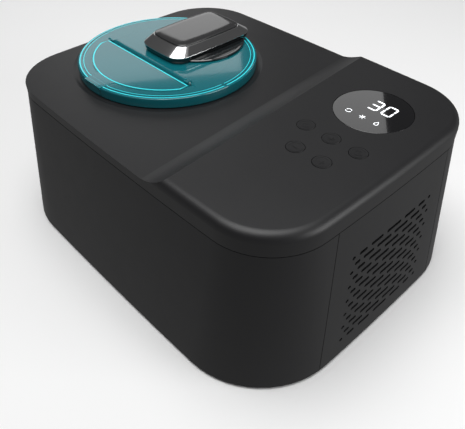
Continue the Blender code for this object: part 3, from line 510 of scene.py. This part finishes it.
def piece(obj, name, mat, body, *replaced, bevel=0.0004, segments=2, angle=32, edge=None, slot=None):
    """Names a fine shape, softens its edges, gives it its finish, and lets it stand for frame nodes."""
    obj.name = name
    obj.data.name = name
    for finish_mat in [mat] + ([edge] if edge else []):
        obj.data.materials.append(finish_mat)
    if bevel:
        soften = obj.modifiers.new("soft_edges", "BEVEL")
        soften.width = bevel
        soften.segments = segments
        soften.limit_method = "ANGLE"
        soften.angle_limit = math.radians(angle)
        # An edge finish given here goes onto the bevelled edges; on the clear plastic it is a glowing painted
        # edge highlight
        soften.material = 1 if edge else -1
    evaluated(obj)
    obj.data.shade_smooth()
    obj.data.set_sharp_from_angle(angle=math.radians(50))
    weighted = obj.modifiers.new("even_shading", "WEIGHTED_NORMAL")
    weighted.keep_sharp = True
    bpy.context.view_layer.update()
    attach(obj, body)
    if replaced:
        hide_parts(*replaced)
    return obj


def casing_band(low, high, outer, inner):
    corners = ((low, outer), (high, outer), (high, inner), (low, inner))
    return loft([casing_outline(z, inset) for z, inset in corners], ring_shaped=True)


def vent_window(clearance):
    """Prism through the vent end between the panel's seams, wider by the clearance."""
    over = 0.01
    near_top, near_foot, far = -0.0664, -0.0836, 0.0826
    slope = (near_top - near_foot) / SEAM_Z
    points = (
        (near_foot - over * slope - clearance, -over), (far + clearance, -over),
        (far + clearance, SEAM_Z + over), (near_top + over * slope - clearance, SEAM_Z + over),
    )
    return prism(points, 0.12, 0.23, "X")


def make_casing(mats):
    wall = casing_band(SHELL_BASE_Z, SEAM_Z - SEAM_GAP, 0.0, WALL)
    rails = []
    for low, high in ((0.0036, 0.012), (0.134, 0.1442)):
        rail = casing_band(low, high, WALL - 0.0005, WALL + 0.0035)
        rails.append(combine(rail, [box((0.12, -0.105, -0.01), (0.23, 0.105, 0.16))], "INTERSECT"))
    combine(wall, rails, "UNION")
    notch = casing_band(-0.01, SEAM_Z + 0.01, -0.002, WALL + 2 * GAP)
    combine(notch, [vent_window(0.0)], "INTERSECT")
    combine(wall, [notch, box((0.0447, 0.12, 0.0187), (0.0753, 0.17, 0.0413))])
    piece(wall, "casing_wall", mats["matt_black"], "casing", "body_shell")


SLOT_ROWS, SLOT_HEIGHT, SLOT_LOW_Z, SLOT_HIGH_Z = 13, 0.0031, 0.0205, 0.1075


def slot_outline(middle, z, length, steps=6):
    radius = SLOT_HEIGHT / 2
    reach = length / 2 - radius
    points = []
    for side, start in ((1, -math.pi / 2), (-1, math.pi / 2)):
        for step in range(steps + 1):
            angle = start + math.pi * step / steps
            points.append((middle + side * reach + radius * math.cos(angle), z + radius * math.sin(angle)))
    return points


def make_vent_panel(mats):
    """Vent panel with staggered rows of slots: dots at a row's ends, long slots in its middle."""
    panel = casing_band(SHELL_BASE_Z, SEAM_Z - SEAM_GAP, 0.0, WALL)
    combine(panel, [vent_window(-SEAM_GAP)], "INTERSECT")
    dotted_row = (0.004, 0.010, 0.016, 0.020, 0.016, 0.010, 0.004)
    plain_row = (0.007, 0.014, 0.020, 0.020, 0.014, 0.007)
    bm = bmesh.new()
    for row in range(SLOT_ROWS):
        lean = row / (SLOT_ROWS - 1)
        z = SLOT_LOW_Z + (SLOT_HIGH_Z - SLOT_LOW_Z) * lean
        lengths = plain_row if row % 2 else dotted_row
        inset = 0.0045 if row % 2 else 0.0
        start = -0.058 + 0.010 * lean + inset
        stop = 0.0570 + 0.006 * lean - inset
        space = (stop - start - sum(lengths)) / (len(lengths) - 1)
        y = start
        for length in lengths:
            outline = slot_outline(y + length / 2, z, length)
            near = [bm.verts.new((0.165, a, b)) for a, b in outline]
            far = [bm.verts.new((0.215, a, b)) for a, b in outline]
            for i, corner in enumerate(near):
                j = (i + 1) % len(near)
                bm.faces.new((corner, near[j], far[j], far[i]))
            bm.faces.new(list(reversed(near)))
            bm.faces.new(far)
            y += length + space
    slots = finish_mesh(bm, "slots", None, None, ride=False)
    combine(panel, [slots])
    piece(panel, "vent_panel", mats["matt_black"], "casing", "end_panel", bevel=0.00035)


def deck_cutter(z, push):
    """Shape over the low deck: flat at z, then a hollow ramp up to the crease."""
    rise, steps, top, half = PANEL_Z - DECK_Z, 20, 0.20, 0.16
    points = [(-0.30, z)]
    for step in range(steps + 1):
        t = step / steps
        points.append((CREASE_X - RAMP_WIDTH + push + RAMP_WIDTH * t, z + rise * (0.35 * t + 0.65 * t * t)))
    edge = CREASE_X + push + 0.0005
    points += [(edge, z + rise + 0.001), (edge, top), (-0.30, top)]
    rings = [
        [Vector((x - CREASE_SLOPE * side * half, side * half, height)) for x, height in points]
        for side in (-1, 1)
    ]
    return loft(rings)


def top_block(base_z, top_z, inset, fillet, steps=12):
    rings = [casing_outline(SEAM_Z, inset, base_z)]
    for step in range(steps + 1):
        angle = math.pi / 2 * step / steps
        shrink = inset + fillet * (1 - math.cos(angle))
        rings.append(casing_outline(SEAM_Z, shrink, top_z - fillet + fillet * math.sin(angle)))
    return loft(rings)


def make_cover(mats):
    cover = top_block(SEAM_Z, PANEL_Z, 0.0, TOP_FILLET)
    hollow = top_block(SEAM_Z - 0.002, PANEL_Z - WALL, WALL, TOP_FILLET - 0.002)
    combine(hollow, [deck_cutter(DECK_Z - WALL - 0.0005, 0.003)])
    slope, foot = DECK_Z + 0.0002 - DISH_Z, DISH_RADIUS - 0.0012
    dish = [(foot + 0.0060 * t, DISH_Z + slope * t * t * (3 - 2 * t)) for t in [i / 10 for i in range(11)]]
    rim = [(foot + 0.0062, 0.17)]
    mouth = turned([(0.0803, 0.14), (0.0803, DISH_Z)] + dish + rim, (BOWL_X, BOWL_Y, 0))
    holes = [turned(((LENS_RADIUS + GAP, 0.15), (LENS_RADIUS + GAP, 0.17)), (LENS_X, LENS_Y, 0))]
    for index in range(1, 6):
        key_low, key_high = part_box("key_cap_%d" % index)
        middle = ((key_low[0] + key_high[0]) / 2, (key_low[1] + key_high[1]) / 2, 0)
        holes.append(turned(((KEY_RADIUS + GAP, 0.15), (KEY_RADIUS + GAP, 0.17)), middle, 64))
    combine(cover, [deck_cutter(DECK_Z, 0.0), hollow, mouth] + holes)
    piece(cover, "cover", mats["matt_black"], "casing", "top_cover", bevel=0.0007, segments=3, angle=24)


# ---------------------------------------------------------------- key panel

LENS_RADIUS = 0.035
KEY_RADIUS = 0.0078
KEY_DISH = 0.00030


def key_middle(index):
    low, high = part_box("key_cap_%d" % index)
    return (low[0] + high[0]) / 2, (low[1] + high[1]) / 2


def make_lens(mats):
    top = LENS_TOP
    edge = [(LENS_RADIUS - 0.0004 * (1 - math.cos(a)), top - 0.0004 + 0.0004 * math.sin(a))
            for a in (0, math.pi / 8, math.pi / 4, 3 * math.pi / 8, math.pi / 2)]
    lens = turned([(0.038, 0.1577), (0.038, 0.1608), (LENS_RADIUS, 0.1608)] + edge, (LENS_X, LENS_Y, 0), 160)
    piece(lens, "lens", mats["display_glass"], "casing", "display_lens", bevel=0)


def make_key_caps(mats):
    """Flush caps, each a shallow dish, so that a finger finds it."""
    for index in range(1, 6):
        x, y = key_middle(index)
        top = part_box("key_cap_%d" % index)[1][2]
        steps = (0.88, 0.75, 0.6, 0.45, 0.3, 0.15, 0.02)
        dish = [(KEY_RADIUS * t, top - KEY_DISH * (1 - t * t)) for t in steps]
        cap = turned(
            [(0.0090, 0.1586), (0.0090, 0.1602), (KEY_RADIUS, 0.1602), (KEY_RADIUS, top - 0.0003),
             (KEY_RADIUS * 0.97, top)] + dish,
            (x, y, 0), 72,
        )
        piece(cap, "key_top_%d" % index, mats["key_black"], "key_%d" % index, "key_cap_%d" % index, bevel=0)


# ---------------------------------------------------------------- lid

def clipped_disc(radius, chord, half_width, steps=84):
    """Front part of a disc about the lid's axis: straight at the chord and at both sides, round in front."""
    side = math.asin(min(1.0, half_width / radius))
    start = min(side, math.acos(-chord / radius))
    angles = [start * (2 * i / steps - 1) for i in range(steps + 1)]
    outline = [(radius * math.sin(angle), -radius * math.cos(angle)) for angle in angles]
    if start == side:
        outline += [(half_width, chord), (-half_width, chord)]
    return outline


def flap_outline(margin, setback):
    return clipped_disc(FLAP_RADIUS + margin, HINGE_Y - BOWL_Y - setback + margin, FLAP_HALF_WIDTH + margin)


def tab_outline(margin):
    wide, narrow = 0.018 + margin, 0.0125 + margin
    tip = -LID_RADIUS - 0.002 if margin else -LID_RADIUS - 0.0002
    root, neck = -0.068, -0.078
    return ((-wide, root), (-narrow, neck), (-narrow, tip), (narrow, tip), (narrow, neck), (wide, root))


def make_lid(mats):
    centre = (BOWL_X, BOWL_Y, 0)
    under, base, line = LID_TOP - 0.0028, lid_low[2], LID_RADIUS * 0.945
    ledge, skirt, wall = under - 0.0006, LID_TOP - 0.0060, LID_RADIUS - 0.0028
    lid = turned(
        (
            (SHAFT_WAY, under), (0.0640, under), (0.0640, skirt), (0.0660, skirt), (0.0660, ledge),
            (wall - 0.0007, ledge), (wall, ledge - 0.0008), (wall, base), (LID_RADIUS - 0.0006, base),
            (LID_RADIUS, base + 0.0006), (LID_RADIUS, LID_TOP - 0.0016),
            (LID_RADIUS - 0.0006, LID_TOP - 0.0005),
            (LID_RADIUS - 0.0018, LID_TOP), (line + 0.0005, LID_TOP), (line + 0.0005, LID_TOP - 0.0004),
            (line, LID_TOP - 0.0004), (line, LID_TOP), (SHAFT_WAY, LID_TOP),
        ),
        centre, 160, hollow=True,
    )
    rib_low = (BOWL_X - 0.062, HINGE_Y - 0.0045, under - 0.0018)
    rib_high = (BOWL_X + 0.062, HINGE_Y + 0.0040, under + 0.0004)
    rib = box(rib_low, rib_high)
    combine(lid, [rib], "UNION")
    knuckle_space = box(
        (BOWL_X - KNUCKLE_HALF - 0.0004, HINGE_Y - 0.0040, HINGE_Z - 0.0030),
        (BOWL_X + KNUCKLE_HALF + 0.0004, HINGE_Y + 0.0030, 0.18),
    )
    floor = LID_TOP - POCKET_DEPTH
    hatch = clipped_disc(HATCH_RADIUS, HINGE_Y - BOWL_Y - HATCH_SETBACK, HATCH_RADIUS)
    for cutter in (
        prism(flap_outline(0.0004, 0.0), floor, 0.18, place=centre),
        prism(hatch, 0.155, 0.18, place=centre),
        prism(tab_outline(0.0005), floor, 0.18, place=centre),
        knuckle_space,
    ):
        combine(lid, [cutter])
    ears = []
    for side in (-1, 1):
        near, far = sorted(BOWL_X + side * (KNUCKLE_HALF + reach) for reach in (0.0006, 0.0056))
        ear_low = (near, HINGE_Y - 0.0024, LID_TOP - 0.0024)
        ear_high = (far, HINGE_Y + 0.0030, HINGE_Z + 0.0018)
        ears.append(box(ear_low, ear_high))
    combine(lid, ears, "UNION")
    bore = PIN_RADIUS + GAP
    combine(lid, [turned(((bore, -0.070), (bore, 0.070)), (BOWL_X, HINGE_Y, HINGE_Z), 24, axis="X")])
    # The lid's bevelled edges carry the glowing painted edge highlight
    piece(lid, "lid_shell", mats["teal_clear"], "lid", "lid", bevel=0.0005, edge=mats["teal_painted_edge_glow"])


def make_flap(mats):
    hinge = Vector((BOWL_X, HINGE_Y, HINGE_Z))
    shift = BOWL_Y - HINGE_Y
    low, high = LID_TOP - POCKET_DEPTH + GAP - HINGE_Z, LID_TOP + 0.0004 - HINGE_Z
    plate = prism([(x, y + shift) for x, y in flap_outline(0.0, FLAP_SETBACK)], low, high, place=hinge)
    tab = prism([(x, y + shift) for x, y in tab_outline(0.0)], low, high, place=hinge)
    web = box(
        (BOWL_X - KNUCKLE_HALF, HINGE_Y - 0.0045, LID_TOP - 0.0012),
        (BOWL_X + KNUCKLE_HALF, HINGE_Y, LID_TOP + 0.0003),
    )
    barrel = turned(((KNUCKLE_RADIUS, -KNUCKLE_HALF), (KNUCKLE_RADIUS, KNUCKLE_HALF)), hinge, 40, axis="X")
    combine(plate, [tab, web, barrel], "UNION")
    bore = PIN_RADIUS + GAP
    combine(plate, [turned(((bore, -0.07), (bore, 0.07)), hinge, 24, axis="X")])
    # The flap's bevelled edges carry the glowing painted edge highlight
    piece(plate, "flap_plate", mats["teal_clear"], "flap", "lid_flap", bevel=0.0005, edge=mats["teal_painted_edge_glow"])
    pin = turned(((PIN_RADIUS, -PIN_HALF), (PIN_RADIUS, PIN_HALF)), hinge, 24, axis="X")
    piece(pin, "hinge_pin", mats["steel"], "lid", "flap_hinge_pin", bevel=0.0002)


def make_painted_edge_highlights(mats):
    """Painted highlights: thin glowing strokes on the clear plastic, where its edges gather the light."""
    top = LID_TOP + LIFT
    notch_half = 0.0135
    ring = [(math.cos(math.tau * i / 160), math.sin(math.tau * i / 160)) for i in range(160)]
    painted_highlight_strokes = (
        # Painted highlight strokes on the lid's top: radius and width of each
        ("lid_painted_highlight_rim", LID_RADIUS - 0.0026, 0.0011),
        ("lid_painted_highlight_inner", LID_RADIUS * 0.93, 0.0006),
    )
    for name, radius, width in painted_highlight_strokes:
        outline = [(radius * x, radius * y) for x, y in ring]
        # Leaving these points out bridges the finger tab with one straight length
        arc = [p for p in outline if not (abs(p[0]) < notch_half and p[1] < 0)]
        bm = bmesh.new()
        stroke_into(bm, arc, width, top, top + LIFT)
        line = finish_mesh(bm, name, mats["teal_painted_edge_glow"], "lid", (BOWL_X, BOWL_Y, 0))
    # Painted highlight stroke just inside the flap's edge
    flap_top = LID_TOP + 0.0004 + LIFT
    bm = bmesh.new()
    stroke_into(bm, flap_outline(-0.0012, FLAP_SETBACK), PAINTED_HIGHLIGHT_WIDTH, flap_top, flap_top + LIFT, closed=True)
    line = finish_mesh(bm, "flap_painted_highlight", mats["teal_painted_edge_glow"], "flap", (BOWL_X, BOWL_Y, 0))


# ---------------------------------------------------------------- drive unit

def drive_loft(profile, ring_shaped=False):
    """Loft of the drive's rounded outline through (height, side inset, end inset) rows."""
    rings = []
    for z, side, end in profile:
        corner = max(DRIVE_CORNER - side, 0.004)
        points = rounded_outline(DRIVE_HALF_X - side, DRIVE_HALF_Y - end, corner, 0.0016, 16, 6)
        rings.append([Vector((p.x, p.y, z)) for p in points])
    return loft(rings, ring_shaped=ring_shaped, place=(BOWL_X, DRIVE_Y, 0))


def make_drive(mats):
    base, ring, plate, top = LID_TOP + 0.0004, DRIVE_RING_Z, DRIVE_PLATE_Z, DRIVE_TOP_Z
    hub_top = base + HUB_HEIGHT
    hub_place = (BOWL_X, HUB_Y, 0)
    housing = drive_loft(
        ((base, 0.0020, 0.0020), (base + 0.0025, 0.0008, 0.0008), (ring, 0.0006, 0.0006),
         (ring, 0.0030, 0.0030), (base, 0.0030, 0.0030)),
        ring_shaped=True,
    )
    combine(housing, [turned(((HUB_RADIUS + GAP, 0.16), (HUB_RADIUS + GAP, hub_top + GAP)), hub_place, 160)])
    piece(housing, "drive_shell", mats["gloss_black"], "lid", "drive_housing", bevel=0.0003, segments=2)
    hub = turned(
        ((HUB_RADIUS - 0.0004, base), (HUB_RADIUS, base + 0.0004), (HUB_RADIUS, hub_top - 0.0006),
         (HUB_RADIUS - 0.0008, hub_top)),
        hub_place, 160,
    )
    groove = turned(
        ((HUB_RADIUS - 0.0034, hub_top - 0.0004), (HUB_RADIUS - 0.0029, hub_top - 0.0004),
         (HUB_RADIUS - 0.0029, hub_top + 0.001), (HUB_RADIUS - 0.0034, hub_top + 0.001)),
        hub_place, 160, hollow=True,
    )
    combine(hub, [groove])
    combine(hub, [turned(((SHAFT_WAY, 0.16), (SHAFT_WAY, 0.17)), (BOWL_X, BOWL_Y, 0), 48)])
    piece(hub, "hub_disc", mats["gloss_black"], "lid", "drive_hub", bevel=0.0002)
    trim = drive_loft(
        ((ring + 0.0003, 0.0008, 0.0008), (ring + 0.0008, 0.0002, 0.0002), (ring + 0.0016, 0.0, 0.0),
         (plate + 0.0002, 0.0058, 0.0108), (plate + 0.0006, 0.0062, 0.0112), (plate + 0.0006, 0.0068, 0.0118),
         (plate - 0.0002, 0.0068, 0.0118), (plate - 0.0002, 0.0082, 0.0140), (ring + 0.0016, 0.0028, 0.0034),
         (ring + 0.0003, 0.0028, 0.0034)),
        ring_shaped=True,
    )
    piece(trim, "chrome_ring", mats["chrome"], "lid", "drive_trim", bevel=0.0002, segments=2, angle=40)
    crown = [(plate + 0.0001, 0.0071, 0.0121), (top - 0.0018, 0.0071, 0.0121)]
    for step in range(13):
        t = step / 12
        rise = math.sin(math.pi / 2 * t)
        fall = 1 - math.cos(math.pi / 2 * t)
        crown.append((top - 0.0017 + 0.0017 * rise, 0.0071 + 0.0089 * fall, 0.0121 + 0.0099 * fall))
    piece(drive_loft(crown), "top_plate", mats["top_gloss"], "lid", "drive_top_plate", bevel=0.0002)


# ---------------------------------------------------------------- bowl, paddle, feet and inlet

def make_bowl(mats):
    centre = (BOWL_X, BOWL_Y, 0)
    low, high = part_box("removable_bowl")
    inner, outer, rim, floor = 0.0677, 0.0690, high[2] - 0.0003, low[2]
    outside = [(outer - 0.010 + 0.010 * math.sin(a), floor + 0.010 - 0.010 * math.cos(a))
               for a in [math.pi / 2 * i / 10 for i in range(11)]]
    inside = [(inner - 0.010 + 0.010 * math.sin(a), floor + 0.0115 - 0.010 * math.cos(a))
              for a in [math.pi / 2 * i / 10 for i in reversed(range(11))]]
    lip = [
        (0.0725, rim - 0.0012), (0.0730, rim - 0.0004), (0.0725, rim + 0.0003),
        (inner + 0.0004, rim + 0.0003), (inner, rim - 0.0001),
    ]
    start, end = (0.0005, floor), (0.0005, floor + 0.0015)
    profile = [start] + outside + [(outer, rim - 0.0012)] + lip + inside + [end]
    bowl = turned(profile, centre, 160, hollow=True)
    piece(bowl, "bowl", mats["steel"], "bowl", "removable_bowl", bevel=0)
    collar = turned(
        ((0.0738, 0.1473), (0.0799, 0.1473), (0.0799, 0.1523), (0.0836, 0.1523),
         (0.0846, 0.1526), (0.0848, 0.1530),
         (0.0846, 0.1535), (0.0840, 0.1538), (0.0748, 0.1538), (0.0741, 0.1535), (0.0738, 0.1528)),
        centre, 160, hollow=True,
    )
    piece(collar, "collar", mats["matt_black"], "casing", "bowl_collar", bevel=0)


def make_paddle(mats):
    centre = (BOWL_X, BOWL_Y, 0)
    low, arm, top, reach, bar, stem = 0.0330, 0.0450, 0.1380, 0.0640, 0.0060, 0.0060
    outline = (
        (-reach, low + 0.004), (-reach + 0.006, low), (reach - 0.006, low),
        (reach, low + 0.004), (reach, top),
        (reach - bar, top), (reach - bar, arm), (stem, arm), (stem, top), (-stem, top), (-stem, arm),
        (-reach + bar, arm), (-reach + bar, top), (-reach, top),
    )
    rings = [[Vector((x, y, z)) for x, z in outline] for y in (-0.0020, 0.0020)]
    blade = loft(rings, place=centre)
    hub = turned(((0.0070, low), (0.0085, low + 0.010), (0.0085, 0.1500), (0.0075, 0.1510)), centre, 64)
    combine(blade, [hub], "UNION")
    combine(blade, [turned(((0.0043, 0.1415), (0.0043, 0.1600)), centre, 48)])
    piece(blade, "paddle_blade", mats["white_plastic"], "stirrer", "paddle", bevel=0.0009, segments=3)
    shaft = turned(((0.0040, 0.1420), (0.0040, 0.1658), (0.0027, 0.1658), (0.0027, 0.1692)), centre, 48)
    piece(shaft, "shaft", mats["steel"], "stirrer", "output_shaft", bevel=0.0003)


def make_feet(mats):
    for side in ("front_left", "front_right", "rear_left", "rear_right"):
        low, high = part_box("foot_" + side)
        middle = ((low[0] + high[0]) / 2, (low[1] + high[1]) / 2, 0)
        foot = turned(
            ((0.0045, 0.0), (0.0117, 0.0), (0.0122, 0.0004), (0.0127, 0.0012),
             (0.0129, 0.0022), (0.0129, 0.0030),
             (0.0019, 0.0030), (0.0019, 0.0022), (0.0045, 0.0022)),
            middle, 72, hollow=True,
        )
        piece(foot, "foot_pad_" + side, mats["rubber"], "casing", "foot_" + side, bevel=0.0002)


def make_inlet(mats):
    """Mains inlet behind the left rear of the casing: a deep socket with two pins."""
    inlet = box((0.045, 0.1360, 0.019), (0.075, 0.1562, 0.041))
    combine(inlet, [box((0.048, 0.1420, 0.022), (0.072, 0.1700, 0.038))])
    piece(inlet, "inlet_socket", mats["gloss_black"], "casing", "power_inlet", bevel=0.0006, segments=3)
    for name, x in (("left", 0.055), ("right", 0.065)):
        pin = box((x - 0.0012, 0.1420, 0.0288), (x + 0.0012, 0.1510, 0.0312))
        piece(pin, "inlet_pin_" + name, mats["steel"], "casing", bevel=0.0004, slot="steel")


# ---------------------------------------------------------------- display

SEGMENTS_LIT = {"3": "abcdg", "0": "abcdef"}


def digit_into(bm, value, x, y, width, height, low, high):
    """Seven-segment digit with (x, y) at its lower left."""
    half = height / 2
    thick = 0.0015
    gap = 0.0003
    spots = {
        "a": ((gap, height), (width - gap, height)), "d": ((gap, 0), (width - gap, 0)),
        "g": ((gap, half), (width - gap, half)),
        "b": ((width, half + gap), (width, height - gap)), "c": ((width, gap), (width, half - gap)),
        "f": ((0, half + gap), (0, height - gap)), "e": ((0, gap), (0, half - gap)),
    }
    for name in SEGMENTS_LIT[value]:
        (ax, ay), (bx, by) = spots[name]
        start, stop = Vector((x + ax, y + ay)), Vector((x + bx, y + by))
        along = (stop - start).normalized()
        across = Vector((-along.y, along.x)) * thick / 2
        tip = along * thick / 2
        left = (start + tip + across, stop - tip + across)
        right = (stop - tip - across, start + tip - across)
        points = (start,) + left + (stop,) + right
        prism_into(bm, points, low, high)


def make_display(mats):
    low, high = LENS_TOP + LIFT / 2, LENS_TOP + 3 * LIFT
    bm = bmesh.new()
    digit_into(bm, "3", LENS_X - 0.0070, LENS_Y + 0.0010, 0.0085, 0.0150, low, high)
    digit_into(bm, "0", LENS_X + 0.0068, LENS_Y + 0.0010, 0.0085, 0.0150, low, high)
    finish_mesh(bm, "display_digits", mats["lit_white"], "casing")
    icon_y = LENS_Y - 0.0150
    bm = bmesh.new()
    x = LENS_X - 0.0150
    for start in (20, 200):
        stroke_into(bm, arc_points(x, icon_y, 0.0026, start, start + 130), 0.0005, low, high)
        tip = arc_points(x, icon_y, 0.0026, start + 130, start + 150, 1)
        inner = arc_points(x, icon_y, 0.0017, start + 130, start + 131, 1)[0]
        outer = arc_points(x, icon_y, 0.0035, start + 130, start + 131, 1)[0]
        prism_into(bm, (outer, tip[1], inner), low, high)
    finish_mesh(bm, "display_sign_stir", mats["lit_white"], "casing")
    bm = bmesh.new()
    x = LENS_X - 0.0005
    for turn in range(3):
        angle = math.radians(60 * turn)
        along = Vector((math.cos(angle), math.sin(angle)))
        middle = Vector((x, icon_y))
        reach = along * 0.0029
        stroke_into(bm, (middle - reach, middle + reach), 0.0005, low, high + LIFT * turn * 0.2)
    finish_mesh(bm, "display_sign_cold", mats["lit_white"], "casing")
    bm = bmesh.new()
    x = LENS_X + 0.0140
    drop = arc_points(x, icon_y - 0.0008, 0.0018, -215, 35) + [(x, icon_y + 0.0032)]
    stroke_into(bm, drop, 0.0005, low, high, closed=True)
    finish_mesh(bm, "display_sign_drop", mats["lit_white"], "casing")


# ---------------------------------------------------------------- key signs

def make_key_signs(mats):
    for index in range(1, 6):
        key_low, key_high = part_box("key_cap_%d" % index)
        x, y = (key_low[0] + key_high[0]) / 2, (key_low[1] + key_high[1]) / 2
        low, high = key_high[2] + LIFT / 2, key_high[2] + 2 * LIFT
        bm = bmesh.new()
        stroke_into(bm, arc_points(x, y, 0.0060, 0, 354, 40), 0.0004, low, high, closed=True)
        if index == 1:
            stroke_into(bm, arc_points(x, y, 0.0028, 120, 420), 0.0006, low, high)
            stroke_into(bm, ((x, y + 0.0008), (x, y + 0.0040)), 0.0006, low, high)
        elif index == 2:
            for turn in range(3):
                angle = math.radians(60 * turn + 30)
                reach = Vector((math.cos(angle), math.sin(angle))) * 0.0032
                middle = Vector((x, y))
                stroke_into(bm, (middle - reach, middle + reach), 0.0005, low, high + LIFT * turn * 0.2)
        elif index == 3:
            stroke_into(bm, arc_points(x, y, 0.0032, 0, 350, 28), 0.0005, low, high, closed=True)
            stroke_into(bm, ((x, y + 0.0020), (x, y), (x + 0.0016, y)), 0.0005, low, high)
        elif index == 4:
            stroke_into(bm, ((x - 0.0028, y), (x + 0.0028, y)), 0.0006, low, high)
        else:
            stroke_into(bm, ((x - 0.0028, y), (x + 0.0028, y)), 0.0006, low, high)
            stroke_into(bm, ((x, y - 0.0028), (x, y + 0.0028)), 0.0006, low, high + LIFT * 0.3)
        finish_mesh(bm, "key_sign_%d" % index, mats["sign_grey"], "key_%d" % index)


def paint_frame(mats):
    """Gives each node of the frame the finish of its slot."""
    slots = {part["node"]: part["material_slot"] for part in frame["record"]["subparts"]}
    for name, obj in nodes.items():
        obj.data.materials.clear()
        obj.data.materials.append(mats[slots[name]])


def main():
    make_camera()
    make_stage()
    mats = build_materials()
    paint_frame(mats)
    make_casing(mats)
    make_vent_panel(mats)
    make_cover(mats)
    make_lens(mats)
    make_key_caps(mats)
    make_lid(mats)
    make_flap(mats)
    make_painted_edge_highlights(mats)
    make_drive(mats)
    make_bowl(mats)
    make_paddle(mats)
    make_feet(mats)
    make_inlet(mats)
    make_display(mats)
    make_key_signs(mats)


main()
